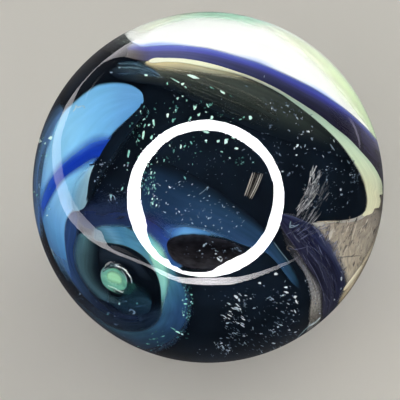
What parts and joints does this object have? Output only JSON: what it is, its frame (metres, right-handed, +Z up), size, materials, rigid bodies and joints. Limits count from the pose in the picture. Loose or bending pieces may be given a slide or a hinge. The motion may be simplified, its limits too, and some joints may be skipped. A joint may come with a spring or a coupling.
{
  "type": "glass marble",
  "caption": "Solid handmade glass marble with a shallow pontil mark, a decorative ball that sits in a small ring stand.",
  "frame": {"origin": "centre of the glass ball", "axes": "+Z up as the marble sits in its ring stand, -Y towards the side that faces the viewer, +X to the viewer's right; the pontil mark is at the lower left of that side"},
  "size_m": [0.025, 0.025, 0.025],
  "materials": {
    "clear_glass": "fire-polished clear borosilicate glass over a swirl of coloured glass"
  },
  "bodies": {
    "root": {"marble": "clear_glass"}
  },
  "joints": []
}
